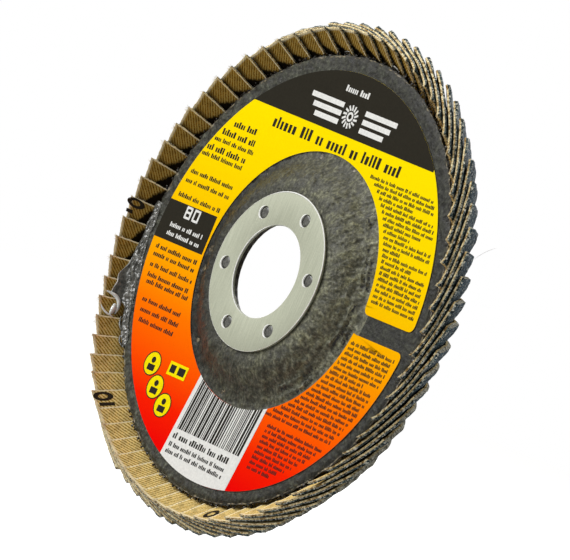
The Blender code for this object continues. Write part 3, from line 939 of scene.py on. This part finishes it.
def add_rim_resin(material, clear):
    """Resin that ran over the rim on the left: a lumpy film, two curled drips and one clear drop, coloured
    pale as a painted reflection.
    """
    angles = np.linspace(RESIN_START, RESIN_END, 260)
    across, angle = np.meshgrid(shares(26), angles, indexing="ij")
    middle = (angle - RESIN_START) / (RESIN_END - RESIN_START)
    ends = np.sin(math.pi * middle) ** 0.5
    inner = 51.5 + 1.2 * (1.0 - ends) + 0.5 * noise(place(20.0, 0.0, angle), 1.5)
    spread = bump(middle, 0.64, 0.24) * (1.0 - ramp(middle, 0.64, 0.74))
    outer = 54.1 + 2.7 * spread + 0.35 * noise(place(30.0, 0.0, angle), 1.2)
    radius = inner + (outer - inner) * across
    flat = place(radius, 0.0, angle)
    streaks = noise(np.stack([1.3 * radius, 0.0 * angle, 16.0 * angle], -1), 0.55)
    lump = 0.30 * ends * np.clip(0.6 + streaks, 0.0, 2.0) + 0.12 * noise(flat, 0.5)
    rise = 0.15 + 0.22 * bump(across, 0.96, 0.05) + 1.3 * lump * np.sin(math.pi * across) ** 0.5
    near = place(radius, over_rim(radius) - rise, angle)
    far = place(radius, over_rim(radius) + 0.2, angle)
    points, faces, _ = shell(near, far)
    add_piece("rim_resin", points, faces, [material], "epoxy", ("rim_bead",))
    # A pale thread along the film's lip: a painted highlight
    lip_radius, lip_angle = radius[-1, RESIN_LIP], angle[-1, RESIN_LIP]
    lip_size = 0.05 + 0.13 * np.abs(noise(place(25.0, 0.0, lip_angle), 0.8))
    film_edge_highlight = tube(place(lip_radius, over_rim(lip_radius) - 0.3, lip_angle), lip_size, 6)
    drips = [
        drip((54.7, 204.6), (54.9, 206.6), (54.2, 208.4), 0.34),
        drip((54.2, 209.5), (54.6, 211.0), (54.0, 212.6), 0.28),
        drip((54.5, 79.0), (54.8, 80.6), (54.6, 82.4), 0.20),
        drip((54.4, 99.0), (54.6, 100.0), (54.4, 101.0), 0.16),
    ]
    add_piece("resin_drips", *joined(drips), [material], "epoxy", ("rim_bead",))
    # The clear drop and the lip thread are opaque and pale: painted reflection and painted highlight
    drop = [
        film_edge_highlight,
        drip((57.5, 198.9), (55.7, 200.6), (55.9, 204.2), 0.52, 10),
        drip((56.1, 201.6), (56.2, 203.0), (56.6, 204.5), 0.66, 10),
        drip((57.9, 202.4), (57.2, 204.0), (56.1, 204.9), 0.26),
    ]
    add_piece("resin_drop_reflection", *joined(drop), [clear], "epoxy", ("rim_bead",))


def drip(first, second, third, size, sides=8):
    """A bowed thread through three (radius, degrees) places, lying on the film over the rim."""
    first, second, third = np.array((first, second, third))
    radius, degrees = bowed(first, 2 * second - (first + third) / 2, third, 14).T
    return tube(place(radius, over_rim(radius) - 0.25, np.radians(degrees)), size, sides)


def add_glue_bits(material):
    """Jagged bits of hard glue in the gap between the plate's rim and the flaps."""
    random = np.random.default_rng(21)
    bits = []
    for _ in range(BIT_COUNT):
        angle = random.uniform(0.0, TURN)
        radius = random.uniform(53.9, 54.5)
        depth = random.uniform(5.1, 6.8)
        size = random.uniform(0.12, 0.42)
        rings = []
        for level, share in ((-1.0, 0.25), (-0.4, 0.9), (0.4, 0.8), (1.0, 0.15)):
            reach = size * share * random.uniform(0.6, 1.2, 6)
            rings.append(place(reach, level * size * 0.8, turns(6)))
        bits.append(capped(np.stack(rings) + place(radius, depth, angle)))
    add_piece("glue_bits", *joined(bits), [material], "epoxy")


# Label


def label_sides():
    """The label's outer and inner side, as x and height, anticlockwise from the gap's upper edge."""
    low, high = LABEL_GAP
    start = math.asin(high / LABEL_OUTER) + LABEL_CORNER / LABEL_OUTER
    end = TURN + math.asin(low / LABEL_OUTER) - LABEL_CORNER / LABEL_OUTER
    angles = np.linspace(start, end, LABEL_TURNS)[1:-1]
    sides = []
    for radius in (LABEL_OUTER, LABEL_INNER):
        arc = place(radius, 0.0, angles)[:, [0, 2]]
        upper = label_corner(radius, high, 1)
        lower = label_corner(radius, low, -1)[::-1]
        sides.append(np.concatenate([upper, arc, lower]))
    return sides


def label_corner(radius, height, towards):
    """A rounded corner of the label's gap, from its straight edge to the circle `radius`."""
    inset = LABEL_CORNER if radius == LABEL_INNER else -LABEL_CORNER
    edge = np.array([math.sqrt((radius + inset) ** 2 - height**2), height])
    angle = math.asin(height / radius) + towards * LABEL_CORNER / radius
    on_circle = radius * np.array([math.cos(angle), math.sin(angle)])
    sharp = np.array([math.sqrt(radius**2 - height**2), height])
    return bowed(edge, sharp, on_circle, 7)


def on_label(x, z, lift):
    """Places this far above the label's glued side, with z measured from the label's centre."""
    x, z = np.broadcast_arrays(np.asarray(x, float), np.asarray(z, float))
    height = z + LABEL_SHIFT
    depth = rim_depth(np.hypot(x, height)) - BOND_GAP - lift
    return np.stack([x, depth, height], -1)


def add_label(material, edge):
    outer, inner = label_sides()
    share = shares(26)[:, None, None]
    flat = inner[None] + (outer - inner)[None] * share
    near = on_label(flat[..., 0], flat[..., 1], LABEL_THICKNESS)
    far = on_label(flat[..., 0], flat[..., 1], 0.0)
    points, faces, kinds = shell(near, far)
    # The label's cut sides take the second, dark material: painted shade along its edges
    kinds = kinds // 2
    add_piece("label_sheet", points, faces, [material, edge], "printed_paper", ("label",), kinds)


class Ink:
    """One colour of print: closed patches a hair above the label, collected into one piece."""

    def __init__(self, name, material, layer=0):
        self.name = name
        self.material = material
        self.base = LABEL_THICKNESS + INK_GAP + layer * (INK_THICKNESS + INK_GAP)
        self.patches = []

    def patch(self, x, z):
        """A patch from grids of x and z on the label."""
        near = on_label(x, z - LABEL_SHIFT, self.base + INK_THICKNESS)
        far = on_label(x, z - LABEL_SHIFT, self.base)
        self.patches.append(shell(near, far)[:2])

    def bar(self, corner, width, height, tilt=PRINT_TILT, start=(0.0, 0.0)):
        """A bar from its lower left corner, in axes that are turned about `start`."""
        count = max(2, int(width / 2.0) + 1)
        rows = max(2, int(height / 2.0) + 1)
        across, up = np.meshgrid(np.linspace(0, width, count), np.linspace(0, height, rows))
        dx = corner[0] + across - start[0]
        dz = corner[1] + up - start[1]
        x = start[0] + dx * math.cos(tilt) - dz * math.sin(tilt)
        z = start[1] + dx * math.sin(tilt) + dz * math.cos(tilt)
        self.patch(x, z)

    def disc(self, centre, radius, inner=0.0):
        share, turn = np.meshgrid(np.linspace(inner / radius, 1.0, 3), np.linspace(0.0, TURN, 25))
        if inner == 0.0:
            share = np.maximum(share, 0.02)
        self.patch(centre[0] + radius * share * np.cos(turn), centre[1] + radius * share * np.sin(turn))

    def words(self, start, width, height, random, tilt=PRINT_TILT, fill=1.0):
        """A line of small upright marks in groups, in place of a line of text."""
        spot = 0.0
        size = 0.62 * height
        while spot < width:
            for _ in range(random.integers(2, 9)):
                mark = size * random.uniform(0.45, 0.75)
                if spot + mark > width:
                    break
                tall = height * random.choice([0.72, 0.72, 1.0])
                self.bar((start[0] + spot, start[1]), mark * fill, tall, tilt, start)
                spot += mark + 0.30 * size
            spot += 0.55 * height

    def finish(self):
        add_piece(self.name, *joined(self.patches), [self.material], "printed_paper")


def arc_height(radius, x):
    """Height of a circle about the label's centre at x."""
    return np.sqrt(np.maximum(radius**2 - x**2, 0.0))


def print_label():
    """The print: generic blocks, bars and marks where the label has its text, codes and pictures."""
    random = np.random.default_rng(5)
    black = Ink("label_ink_black", ink_material("black_ink", (0.030, 0.027, 0.020)))
    white = Ink("label_ink_white", ink_material("white_ink", (0.82, 0.82, 0.785)), 1)
    yellow = Ink("label_ink_yellow", ink_material("yellow_ink", (0.96, 0.80, 0.003)), 1)
    dark = Ink("label_ink_dark", ink_material("dark_ink", (0.03, 0.028, 0.024)), 2)

    # The black segment above a chord that tilts like the print
    edge = LABEL_OUTER - 0.01
    ends = math.sqrt(edge**2 - 35.75**2)
    xs = np.linspace(-ends, ends, 90)
    low = 35.4 - 0.0175 * xs
    high = np.maximum(arc_height(edge, xs) + LABEL_SHIFT, low + 0.03)
    share = shares(16)[:, None]
    black.patch(np.broadcast_to(xs, (16, 90)), low + (high - low) * share)
    add_emblem(white, yellow, random)
    black.words((-25.4, 31.6), 52.0, 2.7, random, fill=0.9)

    # Left column, from the top down: (height, first x, width, size)
    lines = (
        (28.3, -38.4, 9.0, 1.5), (25.7, -41.4, 12.6, 1.5), (23.8, -43.2, 15.5, 1.1),
        (21.3, -44.6, 15.0, 1.5),
        (19.6, -45.6, 16.0, 1.1), (14.6, -46.8, 17.0, 1.1), (12.2, -47.3, 17.2, 1.1),
        (8.5, -47.8, 16.6, 1.1), (-4.7, -48.2, 16.4, 1.1), (-6.6, -48.0, 16.4, 1.1),
        (-9.2, -47.6, 16.6, 1.1), (-11.6, -47.0, 16.4, 1.1), (-13.2, -46.4, 16.4, 1.1),
        (-17.4, -45.2, 15.4, 1.1), (-19.8, -44.4, 15.0, 1.1), (-22.2, -43.4, 14.4, 1.1),
    )
    for height, x, width, size in lines:
        black.words((x, height), width, size, random)
    zs = np.linspace(-2.25, 7.3, 7)
    share = shares(12)[:, None]
    left = -np.sqrt(edge**2 - (zs - LABEL_SHIFT) ** 2)
    black.patch(left + (-31.6 - left) * share, np.broadcast_to(zs, (12, 7)))
    grit_number(white)
    white.words((-46.4, 1.2), 12.8, 1.1, random)
    white.words((-46.4, -0.9), 12.8, 1.1, random)

    # Right column: fine print between the label's two circles
    for row in range(46):
        z = 28.6 - 1.3 * row
        if LABEL_GAP[0] - 1.8 < z < LABEL_GAP[1] + 1.6:
            continue
        inner = arc_height(LABEL_INNER + 1.2, z) if abs(z) < LABEL_INNER else 13.0
        outer = arc_height(LABEL_OUTER - 1.4, z)
        wide = (outer - inner) * (1.0 if random.random() > 0.16 else random.uniform(0.35, 0.8))
        black.words((inner, z), wide, 0.85, random)
    for row in range(9):
        z = -32.4 - 1.3 * row
        outer = arc_height(LABEL_OUTER - 1.2, z)
        if outer > 17.0:
            black.words((15.2 - 0.08 * row, z), outer - 15.2, 0.85, random)
    print_code(white, dark, random)
    print_signs(yellow, dark)
    for ink in (black, white, yellow, dark):
        ink.finish()


def add_emblem(white, yellow, random):
    """A plain emblem in the black segment: a ring of short strokes between bars, under a row of marks."""
    white.words((-4.9, 45.2), 9.6, 1.5, random)
    centre = (0.0, 39.9)
    white.disc(centre, 1.15, 0.6)
    for step in range(14):
        turn = step * TURN / 14
        start = (centre[0] + 1.6 * math.cos(turn), centre[1] + 1.6 * math.sin(turn))
        white.bar(start, 1.35, 0.5, turn + 0.5, start)
    for row in range(3):
        z = 41.3 - 2.05 * row
        inset = 1.6 * row
        white.bar((-16.6 + inset, z), 12.4 - inset, 1.25)
        white.bar((4.2, z), 12.4 - inset, 1.25)


def grit_number(white):
    """The grit number 80, from plain strokes."""
    for x in (-43.0, -39.9):
        for z in (3.3, 4.62, 5.8) if x < -41.0 else (3.3, 5.8):
            white.bar((x, z), 2.3, 0.55)
        for side in (0.0, 1.8):
            white.bar((x + side, 3.3), 0.55, 2.9)


def print_code(white, dark, random):
    """A white field with stripes of random width and three rows of marks, leaning a little."""
    share = shares(16)[:, None]

    def down(starts, low):
        """Grid of x and z that runs down from the label's inner circle, leaning as it goes."""
        starts = np.asarray(starts, float)
        high = -arc_height(LABEL_INNER + 0.01, starts) + LABEL_SHIFT
        z = high + (low - high) * share
        return starts + CODE_LEAN * (z - CODE_TOP), z

    xs = np.linspace(-14.6, 12.7, 34)
    foot = xs + CODE_LEAN * (-48.0 - CODE_TOP)
    white.patch(*down(xs, -arc_height(LABEL_OUTER - 0.01, foot) + LABEL_SHIFT))
    spot = -13.2
    while spot < 11.4:
        wide = random.choice([0.26, 0.26, 0.45, 0.75])
        dark.patch(*down([spot, spot + wide], -41.2))
        spot += wide + random.choice([0.26, 0.36, 0.55])
    for z, size in ((-43.9, 1.5), (-45.9, 1.05), (-47.6, 1.05)):
        dark.words((-13.2 + CODE_LEAN * (z - CODE_TOP), z + 0.35), 22.5, size, random)


def print_signs(yellow, dark):
    """Three round signs and one rectangle, each with a plain mark."""
    for x, z in ((-32.3, -29.9), (-28.0, -34.6), (-22.8, -37.8)):
        yellow.disc((x, z), 3.0)
        dark.disc((x, z), 3.0, 2.75)
        dark.disc((x, z + 0.9), 0.75)
        dark.bar((x - 1.3, z - 1.7), 2.6, 1.5, 0.0)
    yellow.bar((-26.3, -30.8), 7.0, 3.3, 0.0)
    dark.bar((-25.6, -30.1), 2.0, 1.9, 0.0)
    dark.bar((-22.6, -30.1), 2.6, 1.9, 0.0)


# Marks printed on three of the cloth backs


def add_marks(flaps, material):
    """Dark ovals and bars, part of the print on the back of the cloth."""
    marks = []
    wall = flaps[0].length - WALL_LENGTH
    turn = np.linspace(0.0, TURN, 29)
    places = ((33, (6.0, 1.2), (7.1, 3.5)), (43, (5.3, 1.6), (4.9, 3.6)), (54, (4.3, 2.1), (3.2, 3.6)))
    for number, oval, bar in places:
        share, angle = np.meshgrid([0.5, 0.75, 1.0], turn)
        shapes = [(oval[0] + 2.2 * share * np.cos(angle), oval[1] + 1.15 * share * np.sin(angle))]
        half = 0.8 if number == 33 else 1.7
        sides = (np.linspace(-half, half, 8), np.linspace(-0.42, 0.42, 4))
        shapes.append(np.meshgrid(sides[0] + bar[0], sides[1] + bar[1]))
        for along, across in shapes:
            near = flaps[number].at(-0.05, wall + along, across)
            far = flaps[number].at(0.02, wall + along, across)
            marks.append(shell(near, far)[:2])
    add_piece("cloth_marks", *joined(marks), [material], "flap_cloth")


# Camera, floor and light


def add_camera():
    """The photograph's view: level, and rolled so that the disc's axis runs down to the right."""
    tilted = math.sin(VIEW_TILT)
    towards = Vector((tilted * math.cos(VIEW_TURN), tilted * math.sin(VIEW_TURN), math.cos(VIEW_TILT)))
    second = Vector((math.sin(VIEW_TURN), -math.cos(VIEW_TURN), 0.0))
    first = second.cross(towards)
    right, up, back = [Vector((first[i], -towards[i], second[i])) for i in range(3)]
    data = bpy.data.cameras.new("camera")
    data.sensor_width = SENSOR_WIDTH
    data.lens = SENSOR_WIDTH / VIEW_SPREAD
    data.clip_end = 20.0
    camera = in_scene("camera", data)
    aim = Vector((0.0, HUB_RISE, 0.0)) + VIEW_AIM[0] * right + VIEW_AIM[1] * up
    camera.location = (aim + VIEW_DISTANCE * back) * MM
    camera.rotation_euler = Matrix((right, up, back)).transposed().to_euler()
    bpy.context.scene.camera = camera


def add_area(name, towards, distance, size, power):
    """A round soft light in this direction from the disc."""
    data = bpy.data.lights.new(name, "AREA")
    data.shape = "DISK"
    data.size = size
    data.energy = power
    light = in_scene(name, data)
    way = Vector(towards).normalized()
    light.location = way * distance
    light.rotation_euler = way.to_track_quat("Z", "Y").to_euler()
    light.visible_camera = False


def add_world(ambient):
    world = bpy.data.worlds.new("studio")
    bpy.context.scene.world = world
    world.use_nodes = True
    tree = world.node_tree
    shown = tree.nodes["Background"]
    shown.inputs["Color"].default_value = (1.0, 1.0, 1.0, 1.0)
    lit = tree.nodes.new("ShaderNodeBackground")
    lit.inputs["Color"].default_value = (*ambient, 1.0)
    path = tree.nodes.new("ShaderNodeLightPath")
    mix = tree.nodes.new("ShaderNodeMixShader")
    tree.links.new(path.outputs["Is Camera Ray"], mix.inputs[0])
    tree.links.new(lit.outputs[0], mix.inputs[1])
    tree.links.new(shown.outputs[0], mix.inputs[2])
    tree.links.new(mix.outputs[0], tree.nodes["World Output"].inputs["Surface"])


def add_floor():
    """A plain white floor under the disc. It shows near white, and sends back little light."""
    nodes = Nodes("white_floor", 0.9)
    nodes.shade(Base_Color=(0.55, 0.55, 0.55, 1.0))
    glow = nodes.tree.nodes.new("ShaderNodeEmission")
    path = nodes.tree.nodes.new("ShaderNodeLightPath")
    nodes.put(glow, "Strength", nodes.product(path.outputs["Is Camera Ray"], 0.9))
    both = nodes.tree.nodes.new("ShaderNodeAddShader")
    nodes.put(both, 0, nodes.shader.outputs[0])
    nodes.put(both, 1, glow.outputs[0])
    nodes.tree.links.new(both.outputs[0], nodes.tree.nodes["Material Output"].inputs["Surface"])
    mesh = bpy.data.meshes.new("floor")
    half = 3.0
    low = min(corner[2] for corner in cad_box) - 0.0006
    corners = [(-half, -half, low), (half, -half, low), (half, half, low), (-half, half, low)]
    mesh.from_pydata(corners, [], [(0, 1, 2, 3)])
    mesh.materials.append(nodes.material)
    in_scene("floor", mesh)


add_camera()
add_world((0.155, 0.152, 0.145))
add_floor()
add_area("key_light", (-0.50, -0.72, 0.50), 1.6, 1.3, 30.0)
add_area("front_light", (-0.35, 0.85, 0.55), 1.6, 1.2, 14.0)
bpy.context.scene.view_settings.view_transform = "Standard"

cloth = cloth_material()
cut = edge_material(
    "cut_cloth", 0.9, 0.28, 2.0,
    ((0.32, (0.22, 0.10, 0.02)), (0.44, (0.85, 0.60, 0.24)), (0.56, (1.0, 0.93, 0.62))),
    (0.75, (0.38, (0.36, 0.28, 0.18)), (0.52, 1.0)), 0.08, 0.0,
)
frayed = edge_material(
    "frayed_edge", 0.85, 0.25, 3.0,
    ((0.32, (0.06, 0.07, 0.06)), (0.45, (0.50, 0.48, 0.36)), (0.58, (0.98, 0.95, 0.80))),
    (0.9, (0.40, (0.32, 0.31, 0.28)), (0.54, 1.0)), 0.1, 0.1,
)
grain = grain_material(
    "abrasive_grain", (0.0, (0.004, 0.010, 0.015)), (0.4, (0.018, 0.060, 0.095)),
    (0.8, (0.055, 0.16, 0.24)), (0.9, (0.22, 0.33, 0.36)), (0.99, (0.75, 0.80, 0.72)),
)
# The grain's broken edge: dark grains with many pale specks, partly real pale grains and partly painted
# glints
grain_edge_glints = grain_material(
    "broken_grain_glints", (0.0, (0.006, 0.012, 0.014)), (0.35, (0.03, 0.06, 0.07)),
    (0.55, (0.12, 0.19, 0.20)), (0.72, (0.48, 0.50, 0.40)), (0.95, (1.0, 0.98, 0.85)),
)
resin = resin_material("rim_resin", (0.035, 0.035, 0.03), (0.17, 0.17, 0.15), 0.14, 0.9)
# Pale, opaque resin for the clear drop: painted reflection
clear = resin_material("resin_painted_reflection", (0.50, 0.52, 0.50), (0.86, 0.88, 0.86), 0.08, 1.5)
glue = resin_material("dark_glue", (0.008, 0.007, 0.006), (0.045, 0.036, 0.026), 0.3, 1.5)
# Near black for the veil's cracks and creases: painted shade
crease_shade = resin_material("crease_painted_shade", (0.002, 0.002, 0.001), (0.012, 0.011, 0.008), 0.6, 0.8)
plug = resin_material("plug_resin", (0.012, 0.012, 0.010), (0.11, 0.11, 0.09), 0.45, 0.5)

flaps = [Flap(number) for number in range(FLAP_COUNT)]
add_flaps(flaps, [cloth, cut, grain, grain_edge_glints, frayed])
add_threads(flaps, ink_material("pale_thread", (0.92, 0.84, 0.64)))
add_hair(ink_material("hair", (0.55, 0.52, 0.46)))
add_marks(flaps, ink_material("cloth_print", (0.035, 0.028, 0.02)))
# Painted light and shade: the hub is painted lighter towards +X, and the rim darker there
hub = veil_material("hub_cloth", 0.33, 3.3, (3.0, 0.9, 1.0), 2.4, (1.35, 1.35, 1.2))
rim = veil_material("rim_cloth", 0.95, 0.55, (2.0, 0.55, 1.0), 1.5, (1.9, 2.0, 2.05))
add_veil([hub, rim, crease_shade])
add_plugs(plug)
add_ring(steel_material())
# Near-white burrs on the ring: painted highlights
add_highlight_lips(ink_material("burr_painted_highlight", (1.0, 1.0, 0.96)))
add_bed(glue)
add_rim_resin(resin, clear)
add_glue_bits(glue)
# Dark grey for the label's cut sides: painted shade
add_label(label_material(), ink_material("label_edge_shade", (0.30, 0.29, 0.25)))
print_label()
glass = glass_material()
for ply in (1, 2, 3):
    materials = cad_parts[f"glass_ply_{ply}"].data.materials
    materials.clear()
    materials.append(glass)
